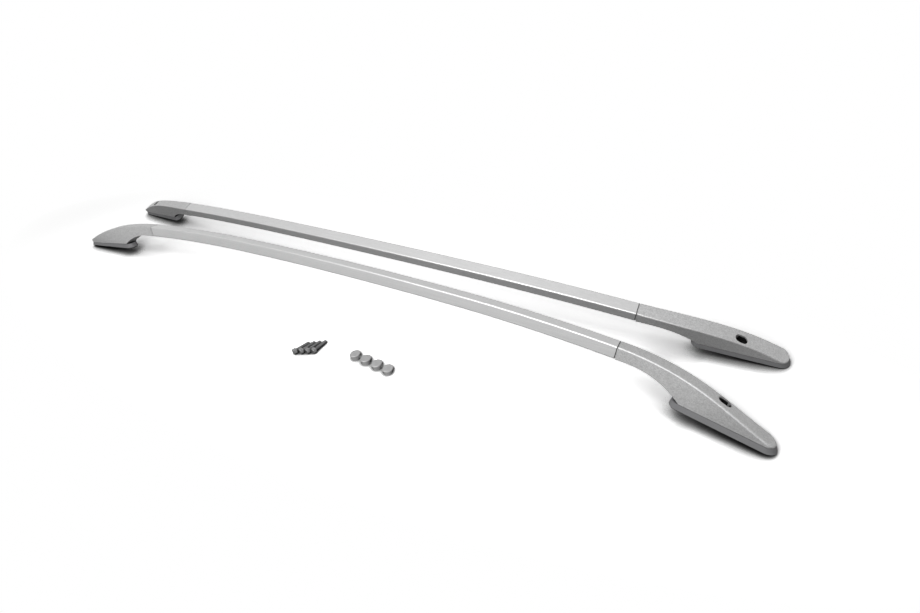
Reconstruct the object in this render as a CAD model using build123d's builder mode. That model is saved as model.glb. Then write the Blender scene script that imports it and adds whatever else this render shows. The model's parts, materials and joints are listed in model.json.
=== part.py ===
from build123d import *
from math import asin, atan2, cos, degrees, radians, sin, sqrt, tan
import os

# A pair of roof side rails, laid out on a floor with their loose screws and hole caps.
# Sizes are in millimetres and angles in degrees. X runs along the rails with the front at +X,
# Y across them with the left rail at +Y, and Z up. Both ends of the left rail are modelled as its
# front, with "outward" meaning +Y; the rear end is then mirrored, and the right rail with it.

# One rail as a whole
RAIL_LENGTH = 1910.0  # nose to nose, along the soles
FOOT_REACH = 296.0  # seam to nose, along the rail
ARCH_LEAN = 26.0  # lean of the arch's plane towards the other rail
RAIL_SPACING = 213.0  # between the floor lines of the two rails
RAIL_STAGGER = 9.0  # the left rail lies this far ahead of the right one

# Front end, broad and flat-nosed
FRONT_RISE = 117.0  # floor to the tube's top at the seam, along the arch's plane
FRONT_SPLAY = 8.0  # outward turn of the sole
FRONT_HEEL_OFFSET = -18.0  # middle of the heel, outward of the floor line
FRONT_NOSE_RADIUS = 20.0
FRONT_NOSE_HEIGHT = 8.0  # foot above the skirt at the nose
FRONT_SKIRT_NOSE = 11.0  # height of the skirt at the nose
FRONT_CREST_FALL = 26.5  # slope of the crest at the nose
FRONT_HOLE_OFFSET = -5.5  # screw hole, outward of the sole's middle line

# Rear end, slimmer and blunter, told by the same sizes
REAR_RISE = 113.0
REAR_SPLAY = 4.5
REAR_HEEL_OFFSET = -21.0
REAR_NOSE_RADIUS = 14.0
REAR_NOSE_HEIGHT = 12.0
REAR_SKIRT_NOSE = 6.0
REAR_CREST_FALL = 29.0
REAR_HOLE_OFFSET = -2.5

# Tube, an extrusion bent to an arch of three tangent arcs
TUBE_WIDTH = 29.0
TUBE_HEIGHT = 28.0
TUBE_CORNER = 3.0
TUBE_WALL = 2.0
TUBE_TURN = 16.5  # turn of the section towards the other rail
ARCH_MID_LENGTH = 656.0
ARCH_MID_RADIUS = 11500.0
ARCH_END_RADIUS = 4300.0

# Base skirt under each foot, with its outline given in the plane of its sole
SKIRT_LENGTH = 190.0
SKIRT_HEEL = 12.0  # height of the skirt at the heel
SKIRT_WALL = 3.0
SKIRT_DRAFT = 1.5  # drawing in of its walls towards the top
SOLE_SLOPE = 6.0  # fall of the sole towards the nose, after the roof's curve
SOLE_ROLL = 12.0  # rise of the sole towards the outer side, as the rail leans
NOSE_RAKE = 26.0  # lean of the nose back towards the top
HEEL_WIDTH = 33.0
HEEL_CORNER = 14.0

# Rubber gasket under each skirt
GASKET_THICKNESS = 3.0
GASKET_INSET = 2.5

# Foot, the moulded shell between the tube and the skirt
FOOT_WALL = 3.0
FOOT_LEDGE = 0.5  # the skirt stands this far out from the foot
CREST_LEAVE = 138.0  # reach of the crest's curve from the seam
CREST_ARRIVE = 92.0  # reach of the crest's curve to the nose
CREST_SPLAY = 9.0  # outward turn of the crest at the nose
CREST_ROUNDING = 0.22  # corner radius of the top facet at the nose, as a share of its half width
CREST_STATIONS = (0.16, 0.34, 0.52, 0.7, 0.86, 1.0)  # sections along the crest, after the seam
WALL_OVERRUN = 15.0  # run of the foot's walls past the skirt's top, before they are trimmed
HEEL_STEP = 14.0  # skirt's heel ahead of the foot's heel
BELLY_STRAIGHT = 30.0  # straight underside next to the seam
SEAM_GROOVE_WIDTH = 1.4
SEAM_GROOVE_DEPTH = 1.5
SPIGOT_LENGTH = 60.0
SPIGOT_WALL = 4.0
SPIGOT_CLEARANCE = 0.2

# Screw hole of each foot: an oval well for the cap above a round one for the screw's head
HOLE_BACK = 107.0  # from the nose to the hole, along the sole
HOLE_SEARCH_STEPS = 12  # halvings of the crest to find the hole's place on it
OVAL_LENGTH = 24.5
OVAL_WIDTH = 17.0
OVAL_FLOOR = 20.0  # height of the oval's floor above the skirt
WELL_WALL = 2.5
WELL_DIAMETER = 15.0
SEAT_THICKNESS = 4.0
SLEEVE_BORE = 9.0
SLEEVE_DIAMETER = 12.0
SLEEVE_CLEARANCE = 0.1
SLEEVE_BOSS = 18.0

# Mounting screw with a socket head
SCREW_DIAMETER = 8.0
SCREW_LENGTH = 35.0
SCREW_HEAD_DIAMETER = 13.0
SCREW_HEAD_HEIGHT = 8.0
SCREW_CHAMFER = 1.0
SOCKET_ACROSS_FLATS = 6.0
SOCKET_DEPTH = 4.0

# Joint screw that holds the spigot in the tube
JOINT_SCREW_DIAMETER = 4.0
JOINT_SCREW_LENGTH = 7.0
JOINT_HEAD_DIAMETER = 8.0
JOINT_HEAD_HEIGHT = 2.6
JOINT_SCREW_BACK = 30.0  # from the seam
JOINT_SCREW_CLEARANCE = 0.1

# Hole cap, an oval lip on the foot's crest with a plug that follows the well
CAP_LIP = 2.8  # overlap round the hole
CAP_THICKNESS = 2.5
CAP_PLUG_DEPTH = 4.5
CAP_EDGE = 0.9
CAP_CLEARANCE = 0.2
LUG_WIDTH = 7.0
LUG_REACH = 4.0
LUG_HEIGHT = 2.5

# Loose pieces on the floor in front of the right rail: first place, step and heading
SCREW_START = (-26.0, -131.0)
SCREW_STEP = (13.5, 6.0)
SCREW_HEADING = 71.7
SCREW_FAN = 3.2
SCREW_COUNT = 4
CAP_START = (113.0, -91.5)
CAP_STEP = (31.0, -3.2)
CAP_HEADING = 111.0
CAP_ROW = ("right_front", "left_front", "left_rear", "right_rear")

# Angles and places that follow from the sizes above
tube_length = RAIL_LENGTH - 2 * FOOT_REACH
tilt = degrees(asin((FRONT_RISE - REAR_RISE) / tube_length))
mid_half_angle = degrees(asin(ARCH_MID_LENGTH / 2 / ARCH_MID_RADIUS))
end_run = (tube_length - ARCH_MID_LENGTH) / 2
end_angle = degrees(asin(sin(radians(mid_half_angle)) + end_run / ARCH_END_RADIUS))
half_chord = tube_length / 2 * cos(radians(tilt))
floor_line = RAIL_SPACING / 2

up_arch = Vector(0, -sin(radians(ARCH_LEAN)), cos(radians(ARCH_LEAN)))
arch_plane = Plane(origin=(0, floor_line, 0), x_dir=(1, 0, 0), z_dir=Vector(1, 0, 0).cross(up_arch))
across_tube = Vector(0, cos(radians(TUBE_TURN)), sin(radians(TUBE_TURN)))


def mirrored(part, about):
    """Mirror image of a finished piece."""
    with BuildPart() as image:
        mirror(part, about=about)
    return image.part


def at_rear(plane):
    """A plane of the front end, mirrored to the rear end."""
    origin, across, out = (
        Vector(-vector.X, vector.Y, vector.Z) for vector in (plane.origin, plane.x_dir, plane.z_dir)
    )
    return Plane(origin=origin, x_dir=across, z_dir=out)


# Lines and outlines that the pieces share


class End:
    """One end of the left rail, modelled as its front: the planes that its pieces share."""

    def __init__(
        self, rise, leave, splay, heel_offset, nose_radius, nose_height, skirt_nose, crest_fall, hole_offset
    ):
        self.rise = rise
        self.leave = leave
        self.nose_radius = nose_radius
        self.rake = skirt_nose * tan(radians(NOSE_RAKE))
        self.nose_height = nose_height
        self.crest_fall = radians(crest_fall)
        self.hole_offset = hole_offset
        self.seam = self.seam_plane()
        self.sole = self.sole_plane(radians(splay), heel_offset)
        nose_edge = self.sole.from_local_coords((0, 0, skirt_nose))
        heel_edge = self.sole.from_local_coords((-SKIRT_LENGTH, 0, SKIRT_HEEL))
        along = (nose_edge - heel_edge).normalized()
        self.skirt_top = Plane(origin=nose_edge, x_dir=along, z_dir=along.cross(self.sole.y_dir))
        self.hole = Plane(
            origin=self.sole.from_local_coords((-HOLE_BACK, hole_offset, 0)),
            x_dir=self.sole.x_dir,
            z_dir=self.sole.z_dir,
        )
        self.hole_height = skirt_nose + (SKIRT_HEEL - skirt_nose) * HOLE_BACK / SKIRT_LENGTH
        self.crest = self.crest_line()

    def seam_plane(self):
        """Plane of the tube's end: X across the section, Y up, Z out of the tube."""
        leave = radians(self.leave)
        along = arch_plane.x_dir * cos(leave) - arch_plane.y_dir * sin(leave)
        across = across_tube - along * across_tube.dot(along)
        origin = arch_plane.from_local_coords((half_chord, self.rise, 0))
        return Plane(origin=origin, x_dir=across, z_dir=along)

    def sole_plane(self, splay, heel_offset):
        """Plane of the sole, with X to the nose and the gasket's lowest point on the floor."""
        slope = radians(SOLE_SLOPE)
        roll = radians(SOLE_ROLL)
        along = Vector(cos(splay) * cos(slope), sin(splay) * cos(slope), -sin(slope))
        level = Vector(-sin(splay), cos(splay), 0)
        normal = along.cross(level) * cos(roll) - level * sin(roll)
        rim = (self.nose_radius - GASKET_INSET) * sqrt(1 - normal.Z**2)
        height = rim + GASKET_THICKNESS * normal.Z - self.nose_radius * sin(slope)
        outward = floor_line + heel_offset + SKIRT_LENGTH * along.Y
        return Plane(origin=(RAIL_LENGTH / 2, outward, height), x_dir=along, z_dir=normal)

    def crest_line(self):
        """Middle of the foot's top facet, from the seam to the nose."""
        fall = Vector(cos(self.crest_fall), 0, -sin(self.crest_fall))
        nose_up = fall.cross(self.sole.y_dir).normalized()
        nose = self.skirt_top.from_local_coords((-self.nose_radius - self.rake, 0, 0))
        nose += nose_up * self.nose_height
        arrive = Vector(1, tan(radians(CREST_SPLAY)), -tan(self.crest_fall)).normalized()
        leave = self.seam.origin + self.seam.z_dir * CREST_LEAVE
        with BuildLine() as crest:
            Bezier(self.seam.origin, leave, nose - arrive * CREST_ARRIVE, nose)
        return crest.line

    def crest_plane(self, share):
        """Plane across the crest: X outward along the top facet, which turns from the tube's to the sole's."""
        along = self.crest % share
        along = Vector(along.X, 0, along.Z).normalized()
        across = across_tube * (1 - share) + Vector(0, cos(radians(SOLE_ROLL)), sin(radians(SOLE_ROLL))) * share
        return Plane(origin=self.crest @ share, x_dir=across - along * across.dot(along), z_dir=along)

    def wall_root(self, plane, offset):
        """Point of the skirt's top that lies in a plane, at an offset from the sole's middle line."""
        start = self.skirt_top.from_local_coords((0, offset, 0))
        along = self.skirt_top.x_dir
        return start + along * ((plane.origin - start).dot(plane.z_dir) / along.dot(plane.z_dir))

    def wall_offset(self, plane):
        """Half width of the foot on the skirt's top, in a plane across the crest."""
        x = self.skirt_top.to_local_coords(self.wall_root(plane, 0)).X
        share = (x + SKIRT_LENGTH) / (SKIRT_LENGTH - self.nose_radius - self.rake)
        half = HEEL_WIDTH / 2 + share * (self.nose_radius - HEEL_WIDTH / 2)
        return half - SKIRT_DRAFT - FOOT_LEDGE


def spigot_path(end):
    """Stretch of the arch that the spigot fills, from the seam inwards."""
    with BuildLine(arch_plane) as path:
        JernArc(
            start=(half_chord, end.rise),
            tangent=(-cos(radians(end.leave)), sin(radians(end.leave))),
            radius=ARCH_END_RADIUS,
            arc_size=degrees(SPIGOT_LENGTH / ARCH_END_RADIUS),
        )
    return path.line


def joint_plane(end):
    """Plane under the tube at the joint screw, Z down and out of the tube."""
    path = spigot_path(end)
    share = JOINT_SCREW_BACK / SPIGOT_LENGTH
    along = path % share
    across = across_tube - along * across_tube.dot(along)
    up = across.cross(along).normalized()
    return Plane(origin=path @ share - up * TUBE_HEIGHT, x_dir=along, z_dir=-up)


def tube_outline(inset=0.0, mode=Mode.ADD):
    """Tube section hung under the arch line, for use in a sketch."""
    corner = max(TUBE_CORNER - inset, TUBE_CORNER / 4)
    with Locations((0, -TUBE_HEIGHT / 2)):
        RectangleRounded(TUBE_WIDTH - 2 * inset, TUBE_HEIGHT - 2 * inset, corner, mode=mode)


def skirt_outline(end, inset=0.0, rake=0.0):
    """Two heel corners and the nose joined by tangents, for use in a sketch."""
    heel_half = HEEL_WIDTH / 2 - HEEL_CORNER
    with Locations((-end.nose_radius - rake, 0)):
        Circle(end.nose_radius - inset)
    with Locations((HEEL_CORNER - SKIRT_LENGTH, -heel_half), (HEEL_CORNER - SKIRT_LENGTH, heel_half)):
        Circle(HEEL_CORNER - inset)
    make_hull()


# Tube


def make_tube(joint_planes):
    """Hollow arched tube with a screw hole under each end."""
    start_angle = radians(end_angle + tilt)
    with BuildLine(arch_plane) as arch:
        rear_end = JernArc(
            start=(-half_chord, REAR_RISE),
            tangent=(cos(start_angle), sin(start_angle)),
            radius=ARCH_END_RADIUS,
            arc_size=mid_half_angle - end_angle,
        )
        middle = JernArc(
            start=rear_end @ 1, tangent=rear_end % 1, radius=ARCH_MID_RADIUS, arc_size=-2 * mid_half_angle
        )
        JernArc(
            start=middle @ 1,
            tangent=middle % 1,
            radius=ARCH_END_RADIUS,
            arc_size=mid_half_angle - end_angle,
        )
    along = arch.line % 0
    section_plane = Plane(
        origin=arch.line @ 0, x_dir=across_tube - along * across_tube.dot(along), z_dir=along
    )
    with BuildPart() as tube:
        with BuildSketch(section_plane):
            tube_outline()
            tube_outline(TUBE_WALL, mode=Mode.SUBTRACT)
        sweep(path=arch.line)
        for plane in joint_planes:
            with BuildSketch(plane):
                Circle(JOINT_SCREW_DIAMETER / 2 + JOINT_SCREW_CLEARANCE)
            extrude(amount=TUBE_HEIGHT / 2, both=True, mode=Mode.SUBTRACT)
    return tube.part


# Foot


def seam_outline(end):
    """Foot's section at the seam: the tube's outline run down past the skirt, for use in a sketch."""
    depth = end.skirt_top.to_local_coords(end.seam.origin).Z + end.nose_height
    half = TUBE_WIDTH / 2
    Polygon((-half, 0), (half, 0), (half, -depth), (-half, -depth), align=None)
    fillet(vertices().sort_by(Axis.Y)[-2:], TUBE_CORNER)


def foot_outline(end, share, inset=0.0):
    """Foot's section: a top facet, and walls that run down past the skirt, for use in a sketch."""
    plane = end.crest_plane(share)
    nose = end.crest_plane(1)
    nose_half = nose.to_local_coords(end.wall_root(nose, end.wall_offset(nose))).X
    half = TUBE_WIDTH / 2 + share * (2 - share) * (nose_half - TUBE_WIDTH / 2) - inset
    corner = TUBE_CORNER + share**3 * (CREST_ROUNDING * nose_half - TUBE_CORNER)
    offset = end.wall_offset(plane) - inset
    outer = plane.to_local_coords(end.wall_root(plane, offset))
    inner = plane.to_local_coords(end.wall_root(plane, -offset))
    outer_top = Vector(half, -inset)
    inner_top = Vector(-half, -inset)
    outer += (outer - outer_top).normalized() * WALL_OVERRUN
    inner += (inner - inner_top).normalized() * WALL_OVERRUN
    Polygon(inner_top, outer_top, (outer.X, outer.Y), (inner.X, inner.Y), align=None)
    fillet(vertices().sort_by(Axis.Y)[-2:], corner)


def belly_space(end, wall):
    """Sketch of the space under the leg, grown by a wall, in the plane along the tube's middle."""
    belly = Plane(origin=end.seam.origin, x_dir=end.seam.z_dir, z_dir=-end.seam.x_dir)
    heel = belly.to_local_coords(end.skirt_top.from_local_coords((HEEL_STEP - SKIRT_LENGTH, 0, 0)))
    with BuildSketch(belly) as space:
        with BuildLine():
            run = Line((-SPIGOT_LENGTH, -TUBE_HEIGHT), (BELLY_STRAIGHT, -TUBE_HEIGHT))
            arch = TangentArc(run @ 1, (heel.X, heel.Y), tangent=run % 1)
            past = Line(arch @ 1, arch @ 1 + (arch % 1) * TUBE_HEIGHT)
            Polyline(past @ 1, (-SPIGOT_LENGTH, (past @ 1).Y), run @ 0)
        make_face()
        if wall:
            offset(amount=wall)
    return space.sketch


def foot_body(end):
    """Outer form of the foot, solid: a loft along the crest, a turned nose and the belly cut away."""
    nose = end.crest_plane(1)
    with BuildPart() as body:
        with BuildSketch(end.seam):
            seam_outline(end)
        for share in CREST_STATIONS:
            with BuildSketch(end.crest_plane(share)):
                foot_outline(end, share)
        loft()
        with BuildSketch(nose):
            foot_outline(end, 1)
            Rectangle(RAIL_SPACING, RAIL_SPACING, align=(Align.MAX, Align.CENTER), mode=Mode.INTERSECT)
        revolve(axis=Axis(nose.origin, nose.y_dir), revolution_arc=180)
        split(bisect_by=end.skirt_top, keep=Keep.TOP)
        extrude(belly_space(end, 0), amount=RAIL_SPACING / 2, both=True, mode=Mode.SUBTRACT)
    return body.part


def foot_cavity(end):
    """Hollow of the foot, open at the skirt."""
    with BuildPart() as cavity:
        for share in CREST_STATIONS[:-1]:
            with BuildSketch(end.crest_plane(share)):
                foot_outline(end, share, FOOT_WALL)
        loft()
        extrude(belly_space(end, FOOT_WALL), amount=RAIL_SPACING / 2, both=True, mode=Mode.SUBTRACT)
    return cavity.part


def make_foot(end):
    """Moulded foot with its screw well, seam groove and spigot."""
    body = foot_body(end)
    cavity = foot_cavity(end)
    with BuildPart() as post:
        with BuildSketch(end.hole):
            SlotOverall(OVAL_LENGTH + 2 * WELL_WALL, OVAL_WIDTH + 2 * WELL_WALL)
        extrude(amount=RAIL_SPACING)
        add(body, mode=Mode.INTERSECT)
    with BuildPart() as foot:
        add(body)
        add(cavity, mode=Mode.SUBTRACT)
        add(post.part)
        with BuildSketch(end.hole.offset(end.hole_height + OVAL_FLOOR)):
            SlotOverall(OVAL_LENGTH, OVAL_WIDTH)
        extrude(amount=RAIL_SPACING, mode=Mode.SUBTRACT)
        with BuildSketch(end.hole.offset(end.hole_height + SEAT_THICKNESS)):
            Circle(WELL_DIAMETER / 2)
        extrude(amount=OVAL_FLOOR, mode=Mode.SUBTRACT)
        with BuildSketch(end.hole):
            Circle(SLEEVE_DIAMETER / 2 + SLEEVE_CLEARANCE)
        extrude(amount=end.hole_height + OVAL_FLOOR, mode=Mode.SUBTRACT)
        with BuildSketch(end.seam):
            tube_outline(-SEAM_GROOVE_DEPTH)
            tube_outline(SEAM_GROOVE_DEPTH, mode=Mode.SUBTRACT)
        extrude(amount=SEAM_GROOVE_WIDTH, mode=Mode.SUBTRACT)
        with BuildSketch(end.seam):
            tube_outline(TUBE_WALL + SPIGOT_CLEARANCE)
            tube_outline(TUBE_WALL + SPIGOT_CLEARANCE + SPIGOT_WALL, mode=Mode.SUBTRACT)
        sweep(path=spigot_path(end))
        with BuildSketch(joint_plane(end)):
            Circle(JOINT_SCREW_DIAMETER / 2 + JOINT_SCREW_CLEARANCE)
        extrude(amount=TUBE_HEIGHT / 2, both=True, mode=Mode.SUBTRACT)
    return foot.part


# What lies under the foot


def make_skirt(end):
    """Tray-like base skirt with a raked nose and a boss for the sleeve."""
    with BuildPart() as block:
        with BuildSketch(end.sole):
            skirt_outline(end)
        with BuildSketch(end.skirt_top):
            skirt_outline(end, SKIRT_DRAFT, end.rake)
        loft()
    with BuildPart() as boss:
        with BuildSketch(end.hole):
            Circle(SLEEVE_BOSS / 2)
        extrude(amount=2 * end.hole_height)
        add(block.part, mode=Mode.INTERSECT)
    with BuildPart() as skirt:
        add(block.part)
        with BuildSketch(end.sole.offset(SKIRT_WALL)):
            skirt_outline(end, SKIRT_DRAFT + SKIRT_WALL, end.rake)
        extrude(amount=RAIL_SPACING, mode=Mode.SUBTRACT)
        add(boss.part)
        with BuildSketch(end.hole):
            Circle(SLEEVE_DIAMETER / 2 + SLEEVE_CLEARANCE)
        extrude(amount=2 * end.hole_height, mode=Mode.SUBTRACT)
    return skirt.part


def make_gasket(end):
    """Rubber gasket on the sole, clear of the sleeve."""
    with BuildPart() as gasket:
        with BuildSketch(end.sole):
            skirt_outline(end, GASKET_INSET)
            with Locations((-HOLE_BACK, end.hole_offset)):
                Circle(SLEEVE_DIAMETER / 2 + SLEEVE_CLEARANCE, mode=Mode.SUBTRACT)
        extrude(amount=-GASKET_THICKNESS)
    return gasket.part


def make_sleeve(end):
    """Steel sleeve through the skirt and the foot's seat."""
    with BuildPart() as sleeve:
        with BuildSketch(end.hole):
            Circle(SLEEVE_DIAMETER / 2)
            Circle(SLEEVE_BORE / 2, mode=Mode.SUBTRACT)
        extrude(amount=end.hole_height + SEAT_THICKNESS)
    return sleeve.part


# Fasteners and caps


def make_joint_screw(plane):
    """Pan-head screw through the tube's underside into the spigot."""
    seat = plane.offset(JOINT_SCREW_CLEARANCE)
    with BuildPart() as screw:
        with BuildSketch(seat):
            Circle(JOINT_HEAD_DIAMETER / 2)
        extrude(amount=JOINT_HEAD_HEIGHT)
        fillet(screw.edges().sort_by(Axis(seat.origin, seat.z_dir))[-1:], JOINT_HEAD_HEIGHT / 2)
        with BuildSketch(seat):
            Circle(JOINT_SCREW_DIAMETER / 2)
        extrude(amount=-JOINT_SCREW_LENGTH)
    return screw.part


def make_mounting_screw(index):
    """Socket-head screw lying on the floor, on the rim of its head and on its tip."""
    droop = atan2((SCREW_HEAD_DIAMETER - SCREW_DIAMETER) / 2, SCREW_LENGTH - SCREW_CHAMFER)
    heading = radians(SCREW_HEADING + index * SCREW_FAN)
    axis = Vector(cos(heading) * cos(droop), sin(heading) * cos(droop), -sin(droop))
    head_root = Plane(
        origin=(
            SCREW_START[0] + index * SCREW_STEP[0],
            SCREW_START[1] + index * SCREW_STEP[1] - floor_line,
            SCREW_HEAD_DIAMETER / 2 * cos(droop),
        ),
        z_dir=axis,
    )
    with BuildPart() as screw:
        with BuildSketch(head_root):
            Circle(SCREW_DIAMETER / 2)
        extrude(amount=SCREW_LENGTH)
        chamfer(screw.edges().sort_by(Axis(head_root.origin, axis))[-1:], SCREW_CHAMFER)
        with BuildSketch(head_root):
            Circle(SCREW_HEAD_DIAMETER / 2)
        extrude(amount=-SCREW_HEAD_HEIGHT)
        chamfer(screw.edges().sort_by(Axis(head_root.origin, axis))[:1], SCREW_CHAMFER / 2)
        with BuildSketch(head_root.offset(-SCREW_HEAD_HEIGHT)):
            RegularPolygon(SOCKET_ACROSS_FLATS / 2, 6, major_radius=False)
        extrude(amount=SOCKET_DEPTH, mode=Mode.SUBTRACT)
    return screw.part


def crest_at_hole(end):
    """Direction along the top facet and share of the crest where the screw hole comes through."""
    low, high = 0.0, 1.0
    for _ in range(HOLE_SEARCH_STEPS):
        middle = (low + high) / 2
        if end.sole.to_local_coords(end.crest @ middle).X < -HOLE_BACK:
            low = middle
        else:
            high = middle
    return end.crest % low, low


def make_cap(end):
    """Oval cap in the frame of its well: a plug that stands on the floor and a lip along the crest."""
    along, share = crest_at_hole(end)
    turn = radians((TUBE_TURN - SOLE_ROLL) * (1 - share))
    across = Vector(0, cos(turn), sin(turn))
    along = Vector(along.dot(end.sole.x_dir), 0, along.dot(end.sole.z_dir)).normalized()
    slant = Plane(
        origin=(0, 0, CAP_PLUG_DEPTH - OVAL_LENGTH / 2 * along.Z / along.X),
        x_dir=along,
        z_dir=along.cross(across),
    )
    with BuildPart() as cap:
        with BuildSketch():
            SlotOverall(OVAL_LENGTH - 2 * CAP_CLEARANCE, OVAL_WIDTH - 2 * CAP_CLEARANCE)
        extrude(amount=OVAL_LENGTH)
        split(bisect_by=slant, keep=Keep.BOTTOM)
        with BuildSketch():
            with Locations((0, OVAL_WIDTH / 2 - CAP_CLEARANCE)):
                Rectangle(LUG_WIDTH, 2 * LUG_REACH)
        extrude(amount=LUG_HEIGHT)
        with BuildSketch(slant):
            SlotOverall(OVAL_LENGTH + 2 * CAP_LIP, OVAL_WIDTH + 2 * CAP_LIP)
        extrude(amount=CAP_THICKNESS)
        fillet(cap.edges().group_by(Axis(slant.origin, slant.z_dir))[-1], CAP_EDGE)
    return cap.part


# The two rails with their front and rear ends, then the loose pieces

ends = {
    "front": End(
        rise=FRONT_RISE,
        leave=end_angle - tilt,
        splay=FRONT_SPLAY,
        heel_offset=FRONT_HEEL_OFFSET,
        nose_radius=FRONT_NOSE_RADIUS,
        nose_height=FRONT_NOSE_HEIGHT,
        skirt_nose=FRONT_SKIRT_NOSE,
        crest_fall=FRONT_CREST_FALL,
        hole_offset=FRONT_HOLE_OFFSET,
    ),
    "rear": End(
        rise=REAR_RISE,
        leave=end_angle + tilt,
        splay=REAR_SPLAY,
        heel_offset=REAR_HEEL_OFFSET,
        nose_radius=REAR_NOSE_RADIUS,
        nose_height=REAR_NOSE_HEIGHT,
        skirt_nose=REAR_SKIRT_NOSE,
        crest_fall=REAR_CREST_FALL,
        hole_offset=REAR_HOLE_OFFSET,
    ),
}
stagger = {"left": Location((RAIL_STAGGER / 2, 0, 0)), "right": Location((-RAIL_STAGGER / 2, 0, 0))}
pieces = {}
caps = {}
joint_screw_parts = []
for place, end in ends.items():
    left = {
        "foot": make_foot(end),
        "base_skirt": make_skirt(end),
        "gasket": make_gasket(end),
        "screw_sleeve": make_sleeve(end),
        "hole_cap": make_cap(end),
        "joint_screw": make_joint_screw(joint_plane(end)),
    }
    if place == "rear":
        left = {name: mirrored(part, Plane.YZ) for name, part in left.items()}
    right = {name: mirrored(part, Plane.XZ) for name, part in left.items()}
    for side, parts in (("left", left), ("right", right)):
        caps[f"{side}_{place}"] = parts.pop("hole_cap")
        joint_screw_parts.append(stagger[side] * parts.pop("joint_screw"))
        for name, part in parts.items():
            pieces[f"{side}_{place}_{name}"] = stagger[side] * part

tube = make_tube([joint_plane(ends["front"]), at_rear(joint_plane(ends["rear"]))])
pieces["left_rail_tube"] = stagger["left"] * tube
pieces["right_rail_tube"] = stagger["right"] * mirrored(tube, Plane.XZ)

with BuildPart() as joint_screws:
    add(joint_screw_parts)
pieces["joint_screws"] = joint_screws.part

with BuildPart() as mounting_screws:
    for index in range(SCREW_COUNT):
        add(make_mounting_screw(index))
pieces["mounting_screws"] = mounting_screws.part

for index, name in enumerate(CAP_ROW):
    heading = CAP_HEADING + (180 if name.endswith("rear") else 0)
    spot = (CAP_START[0] + index * CAP_STEP[0], CAP_START[1] + index * CAP_STEP[1] - floor_line, 0)
    pieces[f"{name}_hole_cap"] = Location(spot, (0, 0, heading)) * caps[name]

# The origin goes to the middle of the layout, on the floor
layout = Compound(list(pieces.values())).bounding_box()
to_origin = Location((-layout.center().X, -layout.center().Y, -layout.min.Z))
os.makedirs("parts", exist_ok=True)
for name, part in pieces.items():
    placed = to_origin * part
    placed.label = name
    export_step(placed, f"parts/{name}.step")
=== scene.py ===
import json
from math import atan2, cos, pi, radians, sin

import bmesh
import bpy
from mathutils import Matrix, Vector


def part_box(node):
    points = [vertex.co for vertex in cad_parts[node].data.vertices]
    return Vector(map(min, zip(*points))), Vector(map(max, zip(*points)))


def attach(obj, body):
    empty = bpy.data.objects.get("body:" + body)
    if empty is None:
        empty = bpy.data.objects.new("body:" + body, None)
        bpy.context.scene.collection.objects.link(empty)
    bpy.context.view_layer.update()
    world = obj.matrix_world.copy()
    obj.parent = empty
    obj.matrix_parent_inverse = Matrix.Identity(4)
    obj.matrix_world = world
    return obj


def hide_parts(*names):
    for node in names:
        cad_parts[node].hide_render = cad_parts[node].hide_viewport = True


# A pair of silver roof side rails on a white studio floor, with their loose screws and hole caps.
# Lengths are in metres and angles in degrees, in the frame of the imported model.

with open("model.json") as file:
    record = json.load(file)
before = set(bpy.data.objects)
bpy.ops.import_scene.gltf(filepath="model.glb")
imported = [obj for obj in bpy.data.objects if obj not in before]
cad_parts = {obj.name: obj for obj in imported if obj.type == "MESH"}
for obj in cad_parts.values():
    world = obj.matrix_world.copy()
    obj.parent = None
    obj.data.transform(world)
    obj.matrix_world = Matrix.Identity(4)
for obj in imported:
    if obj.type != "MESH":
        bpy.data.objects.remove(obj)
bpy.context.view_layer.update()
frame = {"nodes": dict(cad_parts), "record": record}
nodes = frame["nodes"]

# The photograph's camera, placed from the floor point midway between the two rails
PHOTO_WIDTH = 920
FOCAL_LENGTH = 540.9  # in pixels of the photograph
SENSOR_WIDTH = 36.0  # in millimetres
CAMERA_PLACE = Vector((0.7731, -0.8052, 0.8578))
CAMERA_YAW = 31.497
CAMERA_PITCH = 40.98
CAMERA_ROLL = -7.286

# Loose screws: the middle under the first head, then the step and turn to the next one
SCREW_START = Vector((-0.026, -0.2375))
SCREW_STEP = Vector((0.0135, 0.006))
SCREW_HEADING = 71.7
SCREW_FAN = 3.2
SCREW_COUNT = 4
SCREW_RADIUS = 0.004
SCREW_LENGTH = 0.035
SCREW_CHAMFER = 0.001
THREAD_PITCH = 0.00125
THREAD_DEPTH = 0.00068
THREAD_BENDS = (0.12, 0.44, 0.56, 0.88)  # shares of a turn: up from the root, crest, down from it, root
THREAD_STEPS = 24
THREAD_SPARE = 3  # turns beyond the shank, which its two ends cut off
THREAD_WELD = THREAD_PITCH / 100
HEAD_RADIUS = 0.0065
HEAD_HEIGHT = 0.008
HEAD_CHAMFER = 0.0006
HEAD_SEGMENTS = 96
KNURL_DEPTH = 0.00022
KNURL_MARGIN = 0.0009
SOCKET_SIDES = 6
SOCKET_RADIUS = 0.003464  # to the corners
SOCKET_DEPTH = 0.004

# Dark lines between pieces
JOINT_LINE = 0.0014  # where a tube meets a foot
REAR_JOINT = 0.4  # how dark it is at the rear, against the front
JOINT_GREY = 0.04
PARTING_LINE = 0.001  # between a foot and its skirt
PARTING_DARK = 0.75
END_FACING = 0.8  # the end face of a tube looks at least this much along the rail
SOLE_FACING = -0.9  # and the rim over a skirt at least this much down

# Screw wells, whose walls are painted dark as shade from just below the rim
WELL_SIZE = Vector((0.0133, 0.0092))  # half length and half width
WELL_RIM = {"front": 0.0358, "rear": 0.0397}  # above the middle of the screw hole
WELL_SPLAY = {"front": 8.0, "rear": 4.5}
WELL_SLOPE = 0.25  # fall of the rim towards the nose
WELL_SHADE_GREY = 0.015

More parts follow.
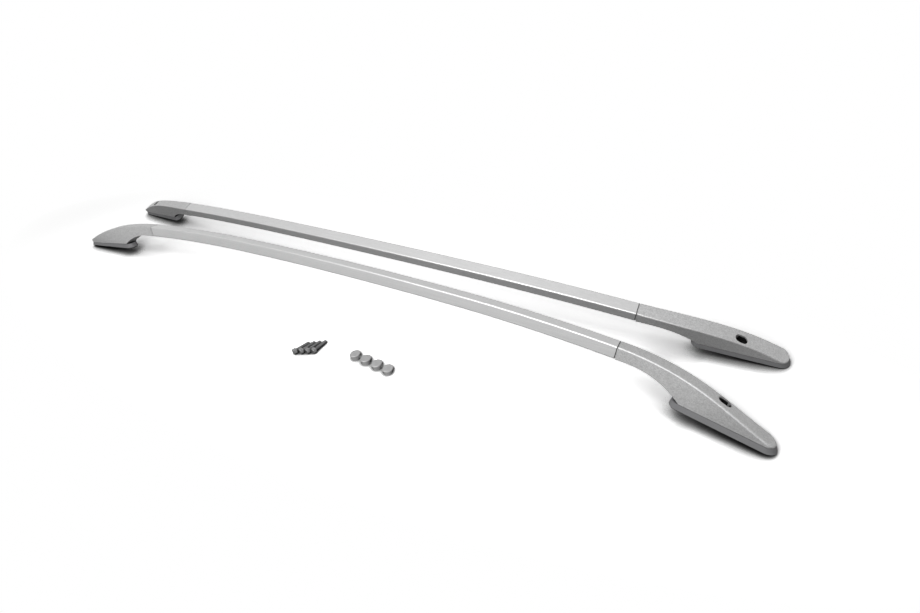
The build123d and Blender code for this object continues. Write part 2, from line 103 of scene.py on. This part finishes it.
# Finishes: each colour's darkest and lightest, the shares of its patterns, and how rough it is without them
TUBE_COLOR = (0.44, 0.72)
TUBE_SHARES = (0.6, 0.15, 0.25)  # streaks, clouds and flecks
TUBE_METAL = 0.7
TUBE_ROUGHNESS = 0.34
STREAK_SIZE = 0.0011
STREAK_STRETCH = (90.0, 1.0, 1.0)
STREAK_ROUGHNESS = 0.10
STREAK_RELIEF = 0.000015
TUBE_CLOUD = 0.06
TUBE_FLECK = 0.0005

FOOT_ENDS = ("left_front", "left_rear", "right_front", "right_rear")
FOOT_COLOR = (0.36, 0.63)
FOOT_GRAIN = 0.0016
CAP_COLOR = (0.40, 0.54)
CAP_GRAIN = 0.0008
PAINT_SHARES = (0.55, 0.45)  # sand and mottle
PAINT_METAL = 0.55
PAINT_ROUGHNESS = 0.38
PAINT_RELIEF = 0.00012
SAND_RELIEF = 0.5  # against the mottle's
MOTTLE_SIZE = 3.0  # in grains
MOTTLE_ROUGHNESS = 0.12

SKIRT_COLOR = ((0.15, 0.15, 0.155), (0.24, 0.24, 0.245))
SKIRT_SHARES = (0.6, 0.4)  # grain and clouds
SKIRT_ROUGHNESS = 0.5
SKIRT_GRAIN = 0.0009
SKIRT_GRAIN_ROUGHNESS = 0.15
SKIRT_RELIEF = 0.00008
SKIRT_CLOUD = 0.02

RUBBER_COLOR = (0.012, 0.035)
RUBBER_ROUGHNESS = 0.7
RUBBER_GRAIN = 0.0007
RUBBER_GRAIN_ROUGHNESS = 0.2
RUBBER_RELIEF = 0.00005

ZINC_COLOR = (0.42, 0.58)
DARK_ZINC_COLOR = (0.12, 0.42)
ZINC_BLUE = 1.01  # trace of blue in its lightest parts
ZINC_SHARES = (0.7, 0.3)  # clouds and specks
ZINC_ROUGHNESS = 0.26
ZINC_CLOUD = 0.003
ZINC_CLOUD_ROUGHNESS = 0.16
ZINC_SPECK = 0.0004
ZINC_RELIEF = 0.00001

# Studio
FLOOR_SIZE = 24.0
FLOOR_SEEN = 1.8  # near the rails, bright enough to lose the faintest shadows
FLOOR_BOUNCE = 0.35  # what it throws back on the object
CONTACT_REACH = 0.04  # how far from a foot the floor's painted contact shadow reaches
TUBE_REACH = 0.095  # and how far from a tube it does
# how steeply the painted contact shadow deepens
CONTACT_DEPTH = 4.0
REACH_CHANGE = (0.81, 0.73)  # how far out along the rails the first gives way to the second
SHADOW_REACH = (1.35, 0.45, 1.0)  # half axes of the floor that keeps shadows
SHADOW_FADE = 0.18  # share of it in which they fade out
ENDLESS = 100.0
WORLD_LIGHT = 0.2
WORLD_SEEN = 1.0  # in reflections
WHITE = (1.0, 1.0, 1.0, 1.0)
SOFTBOXES = (  # name, place, target, size and power
    ("overhead", (0.0, -0.55, 1.4), (0.0, 0.0, 0.0), (1.2, 0.9), 12),
    ("front", (0.3, -1.4, 1.15), (0.25, 0.0, 0.0), (1.4, 1.0), 19),
)

left_low, left_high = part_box("left_rail_tube")
right_low, right_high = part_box("right_rail_tube")
pair_middle = Vector((0, (left_low.y + left_high.y + right_low.y + right_high.y) / 4, 0))


# Shader sockets and nodes


class Wire:
    """A shader value: arithmetic on it adds Math nodes to the tree of its finish."""

    def __init__(self, finish, socket):
        self.finish = finish
        self.socket = socket

    def combine(self, operation, first, second):
        return self.finish.node("ShaderNodeMath", {0: first, 1: second}, operation=operation)

    def __add__(self, other):
        return self.combine("ADD", self, other)

    def __radd__(self, other):
        return self.combine("ADD", other, self)

    def __sub__(self, other):
        return self.combine("SUBTRACT", self, other)

    def __rsub__(self, other):
        return self.combine("SUBTRACT", other, self)

    def __mul__(self, other):
        return self.combine("MULTIPLY", self, other)

    def __pow__(self, other):
        return self.combine("POWER", self, other)

    def __gt__(self, other):
        return self.combine("GREATER_THAN", self, other)

    def __lt__(self, other):
        return self.combine("LESS_THAN", self, other)

    def at_most(self, other):
        return self.combine("MINIMUM", self, other)


class Finish:
    """The nodes of one material, or of the world."""

    def __init__(self, name, library=bpy.data.materials):
        self.block = library.new(name)
        self.block.use_nodes = True
        self.tree = self.block.node_tree
        self.tree.nodes.clear()
        self.place = self.node("ShaderNodeTexCoord", output="Object")

    def node(self, kind, values=None, output=0, **settings):
        """A new node: its settings first, then the values or links of its sockets."""
        made = self.tree.nodes.new(kind)
        for name, value in settings.items():
            setattr(made, name, value)
        for key, value in (values or {}).items():
            if isinstance(value, Wire):
                self.tree.links.new(value.socket, made.inputs[key])
            else:
                made.inputs[key].default_value = value
        return Wire(self, made.outputs[output]) if made.outputs else made

    def stretched(self, x, y, z):
        """Object coordinates scaled by axis."""
        values = {"Vector": self.place, "Scale": (x, y, z)}
        return self.node("ShaderNodeMapping", values, vector_type="TEXTURE")

    def fall_off(self, x, y, z):
        """1 at the origin, down to 0 at those distances along the axes."""
        values = {"Vector": self.stretched(x, y, z)}
        return self.node("ShaderNodeTexGradient", values, output="Fac", gradient_type="SPHERICAL")

    def noise(self, size, detail=2.0, place=None):
        """Soft noise from 0 to 1 with features of that size."""
        values = {"Vector": place or self.place, "Scale": 1.0 / size, "Detail": detail}
        return self.node("ShaderNodeTexNoise", values, output="Fac")

    def flakes(self, size):
        """A random value from 0 to 1 in each small cell."""
        cells = self.node("ShaderNodeTexVoronoi", {"Vector": self.place, "Scale": 1.0 / size}, output="Color")
        return self.node("ShaderNodeSeparateColor", {"Color": cells}, output="Red")

    def ramp(self, value, *stops):
        """A value run through a grey ramp of two stops."""
        shade = self.node("ShaderNodeValToRGB", {"Fac": value})
        for element, (position, grey) in zip(shade.socket.node.color_ramp.elements, stops):
            element.position = position
            element.color = (grey, grey, grey, 1.0)
        return shade

    def tint(self, low, high, mask):
        """A colour between two, by a mask. Each is a wire, a grey or three channels."""
        values = {"Factor": mask, "A": shader_color(low), "B": shader_color(high)}
        return self.node("ShaderNodeMix", values, output="Result", data_type="RGBA")

    def rays(self, kind):
        """1 for rays of that kind, 0 for others."""
        return self.node("ShaderNodeLightPath", output=f"Is {kind} Ray")

    def beyond(self, point, normal):
        """How far the surface lies past a plane."""
        values = {0: self.place, 1: normal}
        along = self.node("ShaderNodeVectorMath", values, output="Value", operation="DOT_PRODUCT")
        return along - point.dot(normal)

    def bump(self, height, depth):
        """Normal of a relief of that depth."""
        values = {"Height": height, "Distance": depth, "Strength": 1.0}
        return self.node("ShaderNodeBump", values, output="Normal")

    def surface(self, **values):
        """The finished surface, from the principled shader's sockets."""
        sockets = {name.replace("_", " ").title(): value for name, value in values.items()}
        self.node("ShaderNodeOutputMaterial", {"Surface": self.node("ShaderNodeBsdfPrincipled", sockets)})
        return self.block


def shader_color(color):
    """A wire as it is, and a grey or three channels with full alpha."""
    if isinstance(color, Wire):
        return color
    channels = color if isinstance(color, tuple) else (color, color, color)
    return (*channels, 1.0)


def blend(shares, *patterns):
    """Patterns added up by their shares."""
    first, *others = [pattern * share for share, pattern in zip(shares, patterns)]
    return sum(others, first)


# Finishes


def end_faces(tube):
    """Centre and normal of the outermost face at each end of a tube."""
    for sign in (1, -1):
        faces = [face for face in tube.data.polygons if face.normal.x * sign > END_FACING]
        last = max(faces, key=lambda face: face.center.x * sign)
        yield last.center.copy(), last.normal.copy()


def satin_aluminium(name, tube):
    """Smooth silver tube with faint streaks along its length and a dark line at each joint."""
    finish = Finish(name)
    front, rear = [finish.beyond(*end) > -JOINT_LINE for end in end_faces(tube)]
    streaks = finish.noise(STREAK_SIZE, detail=3.0, place=finish.stretched(*STREAK_STRETCH))
    clouds = finish.noise(TUBE_CLOUD)
    flecks = finish.flakes(TUBE_FLECK)
    silver = finish.tint(*TUBE_COLOR, blend(TUBE_SHARES, streaks, clouds, flecks))
    return finish.surface(
        base_color=finish.tint(silver, JOINT_GREY, front + rear * REAR_JOINT),
        metallic=TUBE_METAL,
        roughness=TUBE_ROUGHNESS + streaks * STREAK_ROUGHNESS,
        normal=finish.bump(streaks, STREAK_RELIEF),
    )


def grained_paint(name, color, grain):
    """The finish, colour and other values of silver paint over a fine sandy grain."""
    finish = Finish(name)
    sand = finish.flakes(grain)
    mottle = finish.noise(grain * MOTTLE_SIZE, detail=3.0)
    silver = finish.tint(*color, blend(PAINT_SHARES, sand, mottle))
    values = {
        "metallic": PAINT_METAL,
        "roughness": PAINT_ROUGHNESS + mottle * MOTTLE_ROUGHNESS,
        "normal": finish.bump(sand * SAND_RELIEF + mottle, PAINT_RELIEF),
    }
    return finish, silver, values


def well_shade_mask(finish, hole):
    """1 inside a screw well, where shade is painted, 0 elsewhere."""
    side, end = hole["name"].split("_")[:2]
    splay = radians(WELL_SPLAY[end])
    forward = 1 if end == "front" else -1
    outward = 1 if side == "left" else -1
    axis = Vector(hole["axis"])
    along = Vector((cos(splay) * forward, sin(splay) * outward, 0))
    along = (along - axis * along.dot(axis)).normalized()
    middle = Vector(hole["pos_m"])
    reach = finish.beyond(middle, along) * (1 / WELL_SIZE.x)
    width = finish.beyond(middle, axis.cross(along)) * (1 / WELL_SIZE.y)
    depth = finish.beyond(middle + axis * WELL_RIM[end], axis + along * WELL_SLOPE)
    return (reach * reach + width * width < 1.0) * (depth < 0.0)


def foot_silver(end):
    """Silver of a foot: dark along the parting line over its skirt, and painted shade in the screw well."""
    finish, silver, values = grained_paint(f"{end}_silver", FOOT_COLOR, FOOT_GRAIN)
    faces = [face for face in nodes[f"{end}_foot"].data.polygons if face.normal.z < SOLE_FACING]
    rim = min(faces, key=lambda face: face.center.z)
    parting = finish.beyond(rim.center.copy(), rim.normal.copy()) > -PARTING_LINE
    hole = next(mount for mount in frame["record"]["mounts"] if mount["name"] == f"{end}_screw_hole")
    # the screw well's darkness is painted shade in the colour; the parting line is a dark joint
    dark = parting * PARTING_DARK + well_shade_mask(finish, hole)
    return finish.surface(base_color=finish.tint(silver, WELL_SHADE_GREY, dark), **values)


def cap_silver():
    """Silver of the hole caps, with a finer grain."""
    finish, silver, values = grained_paint("cap_silver", CAP_COLOR, CAP_GRAIN)
    return finish.surface(base_color=silver, **values)


def moulded_grey():
    """Darker grained plastic of the base skirts."""
    finish = Finish("moulded_grey")
    grain = finish.noise(SKIRT_GRAIN, detail=4.0)
    clouds = finish.noise(SKIRT_CLOUD)
    return finish.surface(
        base_color=finish.tint(*SKIRT_COLOR, blend(SKIRT_SHARES, grain, clouds)),
        roughness=SKIRT_ROUGHNESS + grain * SKIRT_GRAIN_ROUGHNESS,
        normal=finish.bump(grain, SKIRT_RELIEF),
    )


def black_rubber():
    """Matt gasket rubber."""
    finish = Finish("black_rubber")
    grain = finish.noise(RUBBER_GRAIN, detail=3.0)
    return finish.surface(
        base_color=finish.tint(*RUBBER_COLOR, grain),
        roughness=RUBBER_ROUGHNESS + grain * RUBBER_GRAIN_ROUGHNESS,
        normal=finish.bump(grain, RUBBER_RELIEF),
    )


def zinc_plate(name, color):
    """Plated steel of the screws and sleeves, a little cloudy."""
    finish = Finish(name)
    low, high = color
    clouds = finish.noise(ZINC_CLOUD, detail=3.0)
    specks = finish.flakes(ZINC_SPECK)
    return finish.surface(
        base_color=finish.tint(low, (high, high, high * ZINC_BLUE), blend(ZINC_SHARES, clouds, specks)),
        metallic=1.0,
        roughness=ZINC_ROUGHNESS + clouds * ZINC_CLOUD_ROUGHNESS,
        normal=finish.bump(specks, ZINC_RELIEF),
    )


finishes = {
    "left_rail_tube": satin_aluminium("left_satin", nodes["left_rail_tube"]),
    "right_rail_tube": satin_aluminium("right_satin", nodes["right_rail_tube"]),
    **{f"{end}_foot": foot_silver(end) for end in FOOT_ENDS},
    "hole_cap": cap_silver(),
    "base_skirt": moulded_grey(),
    "gasket": black_rubber(),
    "screw_sleeve": zinc_plate("zinc_sleeve", ZINC_COLOR),
    "joint_screws": zinc_plate("zinc_joint_screw", ZINC_COLOR),
    "mounting_screws": zinc_plate("zinc_mounting_screw", DARK_ZINC_COLOR),
}
for name, node in nodes.items():
    node.data.materials.clear()
    node.data.materials.append(next(finishes[kind] for kind in finishes if name.endswith(kind)))


# Mounting screws with their threads


def thread_profile(bm):
    """One turn of thread as a line beside the axis, from root to crest and back."""
    root = SCREW_RADIUS - THREAD_DEPTH
    radii = (root, root, SCREW_RADIUS, SCREW_RADIUS, root, root)
    shares = (0.0, *THREAD_BENDS, 1.0)
    points = [bm.verts.new((radius, 0, share * THREAD_PITCH)) for radius, share in zip(radii, shares)]
    return [bm.edges.new(pair) for pair in zip(points, points[1:])] + points


def add_thread(bm):
    """Threaded shank along +Z, cut square at both ends and chamfered at its tip."""
    turns = round(SCREW_LENGTH / THREAD_PITCH) + THREAD_SPARE
    profile = thread_profile(bm)
    bmesh.ops.translate(bm, verts=bm.verts, vec=(0, 0, -THREAD_PITCH))
    bmesh.ops.spin(
        bm,
        geom=profile,
        axis=(0, 0, 1),
        cent=(0, 0, 0),
        dvec=(0, 0, THREAD_PITCH / THREAD_STEPS),
        angle=2 * pi * turns,
        steps=THREAD_STEPS * turns,
    )
    bmesh.ops.remove_doubles(bm, verts=bm.verts, dist=THREAD_WELD)
    for height, outward in ((0.0, -1), (SCREW_LENGTH, 1)):
        cut = bmesh.ops.bisect_plane(
            bm,
            geom=bm.verts[:] + bm.edges[:] + bm.faces[:],
            plane_co=(0, 0, height),
            plane_no=(0, 0, outward),
            clear_outer=True,
        )
        rim = [item for item in cut["geom_cut"] if isinstance(item, bmesh.types.BMEdge)]
        bmesh.ops.edgenet_fill(bm, edges=rim)
    for vert in bm.verts:
        reach = vert.co.xy.length
        limit = SCREW_RADIUS - SCREW_CHAMFER + (SCREW_LENGTH - vert.co.z)
        if reach > limit:
            vert.co.xy *= limit / reach


def loop(bm, radius, height, segments):
    """The vertices and edges of a regular polygon round the axis."""
    place = Matrix.Translation((0, 0, height))
    verts = bmesh.ops.create_circle(bm, segments=segments, radius=radius, matrix=place)["verts"]
    return verts, list({edge for vert in verts for edge in vert.link_edges})


def ring(bm, radius, height, knurl=0.0):
    """Edges round the head, with every other vertex drawn in where it is knurled."""
    verts, edges = loop(bm, radius, height, HEAD_SEGMENTS)
    for vert in verts[1::2]:
        vert.co.xy *= 1 - knurl / radius
    return edges


def hexagon(bm, height):
    """Edges round the socket, with as many vertices as the head's rings."""
    sides = loop(bm, SOCKET_RADIUS, height, SOCKET_SIDES)[1]
    split = bmesh.ops.subdivide_edges(bm, edges=sides, cuts=HEAD_SEGMENTS // SOCKET_SIDES - 1)
    return [item for item in split["geom"] if isinstance(item, bmesh.types.BMEdge)]


def add_head(bm):
    """Knurled socket head below the shank's root, along -Z."""
    top = -HEAD_HEIGHT
    rings = [
        ring(bm, SCREW_RADIUS, 0.0),
        ring(bm, HEAD_RADIUS - HEAD_CHAMFER / 2, 0.0),
        ring(bm, HEAD_RADIUS, -HEAD_CHAMFER / 2),
        ring(bm, HEAD_RADIUS, -KNURL_MARGIN),
        ring(bm, HEAD_RADIUS, -KNURL_MARGIN - KNURL_DEPTH, KNURL_DEPTH),
        ring(bm, HEAD_RADIUS, top + KNURL_MARGIN + KNURL_DEPTH, KNURL_DEPTH),
        ring(bm, HEAD_RADIUS, top + KNURL_MARGIN),
        ring(bm, HEAD_RADIUS, top + HEAD_CHAMFER),
        ring(bm, HEAD_RADIUS - HEAD_CHAMFER, top),
        hexagon(bm, top),
        hexagon(bm, top + SOCKET_DEPTH),
    ]
    for near, far in zip(rings, rings[1:]):
        bmesh.ops.bridge_loops(bm, edges=near + far)
    bmesh.ops.edgenet_fill(bm, edges=rings[-1])


def screw_place(index):
    """Where a loose screw lies: on the rim of its head and on its tip, pointing along its heading."""
    droop = atan2(HEAD_RADIUS - SCREW_RADIUS, SCREW_LENGTH - SCREW_CHAMFER)
    heading = radians(SCREW_HEADING + index * SCREW_FAN)
    axis = Vector((cos(heading) * cos(droop), sin(heading) * cos(droop), -sin(droop)))
    root = (SCREW_START + index * SCREW_STEP).to_3d() + pair_middle
    root.z = HEAD_RADIUS * cos(droop)
    return Matrix.Translation(root) @ axis.to_track_quat("Z", "Y").to_matrix().to_4x4()


def add_object(name, bm, material):
    """A new object from a bmesh, which is freed, in one material."""
    mesh = bpy.data.meshes.new(name)
    bm.to_mesh(mesh)
    bm.free()
    mesh.materials.append(material)
    made = bpy.data.objects.new(name, mesh)
    bpy.context.scene.collection.objects.link(made)
    return made


def make_screws():
    """The four mounting screws as one piece."""
    bm = bmesh.new()
    for index in range(SCREW_COUNT):
        screw = bmesh.new()
        add_thread(screw)
        add_head(screw)
        bmesh.ops.recalc_face_normals(screw, faces=screw.faces)
        bmesh.ops.transform(screw, matrix=screw_place(index), verts=screw.verts)
        one = bpy.data.meshes.new("one_screw")
        screw.to_mesh(one)
        screw.free()
        bm.from_mesh(one)
        bpy.data.meshes.remove(one)
    return add_object("threaded_screws", bm, finishes["mounting_screws"])


screws = make_screws()
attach(screws, "root")
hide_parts("mounting_screws")


# Studio floor, light and camera


def white_floor():
    """Blown-out white that keeps the lamps' soft shadows near the rails, with contact shadows painted into
    its colour from an occlusion node.
    """
    finish = Finish("studio_floor")
    camera = finish.rays("Camera")
    far = 1.0 - finish.ramp(finish.fall_off(*SHADOW_REACH), (0.0, 0.0), (SHADOW_FADE, 1.0))
    feet, tubes = (1.0 - distance for distance in REACH_CHANGE)
    under_tube = finish.ramp(finish.fall_off(1.0, ENDLESS, ENDLESS), (feet, 0.0), (tubes, 1.0))
    reach = CONTACT_REACH + under_tube * (TUBE_REACH - CONTACT_REACH)
    # painted contact shadow: the floor's colour darkens for the camera where the rails come near
    openness = finish.node("ShaderNodeAmbientOcclusion", {"Distance": reach}, output="AO")
    painted_contact_shade = (openness ** CONTACT_DEPTH * FLOOR_SEEN).at_most(1.0)
    shade = FLOOR_BOUNCE + camera * (painted_contact_shade * FLOOR_SEEN - FLOOR_BOUNCE)
    matt = finish.node("ShaderNodeBsdfDiffuse", {"Color": shade})
    white = finish.node("ShaderNodeEmission", {"Strength": 1.0})
    seen = camera + finish.rays("Glossy")
    floor_shader = finish.node("ShaderNodeMixShader", {0: seen * far, 1: matt, 2: white})
    finish.node("ShaderNodeOutputMaterial", {"Surface": floor_shader})
    return finish.block


def make_floor():
    """Plain square floor under the rails."""
    bm = bmesh.new()
    bmesh.ops.create_grid(bm, x_segments=1, y_segments=1, size=FLOOR_SIZE / 2)
    floor = add_object("floor", bm, white_floor())


def make_world():
    """Even pale surroundings, brighter in reflections than as light."""
    finish = Finish("studio", bpy.data.worlds)
    seen = finish.rays("Camera") + finish.rays("Glossy")
    strength = WORLD_LIGHT + seen * (WORLD_SEEN - WORLD_LIGHT)
    background = finish.node("ShaderNodeBackground", {"Color": WHITE, "Strength": strength})
    finish.node("ShaderNodeOutputWorld", {"Surface": background})
    bpy.context.scene.world = finish.block


def softbox(name, place, target, size, power):
    """Rectangular area light that faces a target."""
    light = bpy.data.lights.new(name, "AREA")
    light.shape = "RECTANGLE"
    light.size, light.size_y = size
    light.energy = power
    lamp = bpy.data.objects.new(name, light)
    aim = Vector(target) - Vector(place)
    lamp.matrix_world = Matrix.Translation(place) @ aim.to_track_quat("-Z", "Y").to_matrix().to_4x4()
    bpy.context.scene.collection.objects.link(lamp)


def make_camera():
    """The photograph's camera, with its tilt and roll."""
    lens = bpy.data.cameras.new("photo_camera")
    lens.sensor_width = SENSOR_WIDTH
    lens.sensor_fit = "HORIZONTAL"
    lens.lens = FOCAL_LENGTH / PHOTO_WIDTH * SENSOR_WIDTH
    camera = bpy.data.objects.new("photo_camera", lens)
    turn = (
        Matrix.Rotation(radians(CAMERA_YAW), 4, "Z")
        @ Matrix.Rotation(radians(90 - CAMERA_PITCH), 4, "X")
        @ Matrix.Rotation(radians(CAMERA_ROLL), 4, "Z")
    )
    camera.matrix_world = Matrix.Translation(CAMERA_PLACE + pair_middle) @ turn
    bpy.context.scene.collection.objects.link(camera)
    bpy.context.scene.camera = camera


make_floor()
make_world()
for settings in SOFTBOXES:
    softbox(*settings)
make_camera()
bpy.context.scene.view_settings.view_transform = "Standard"
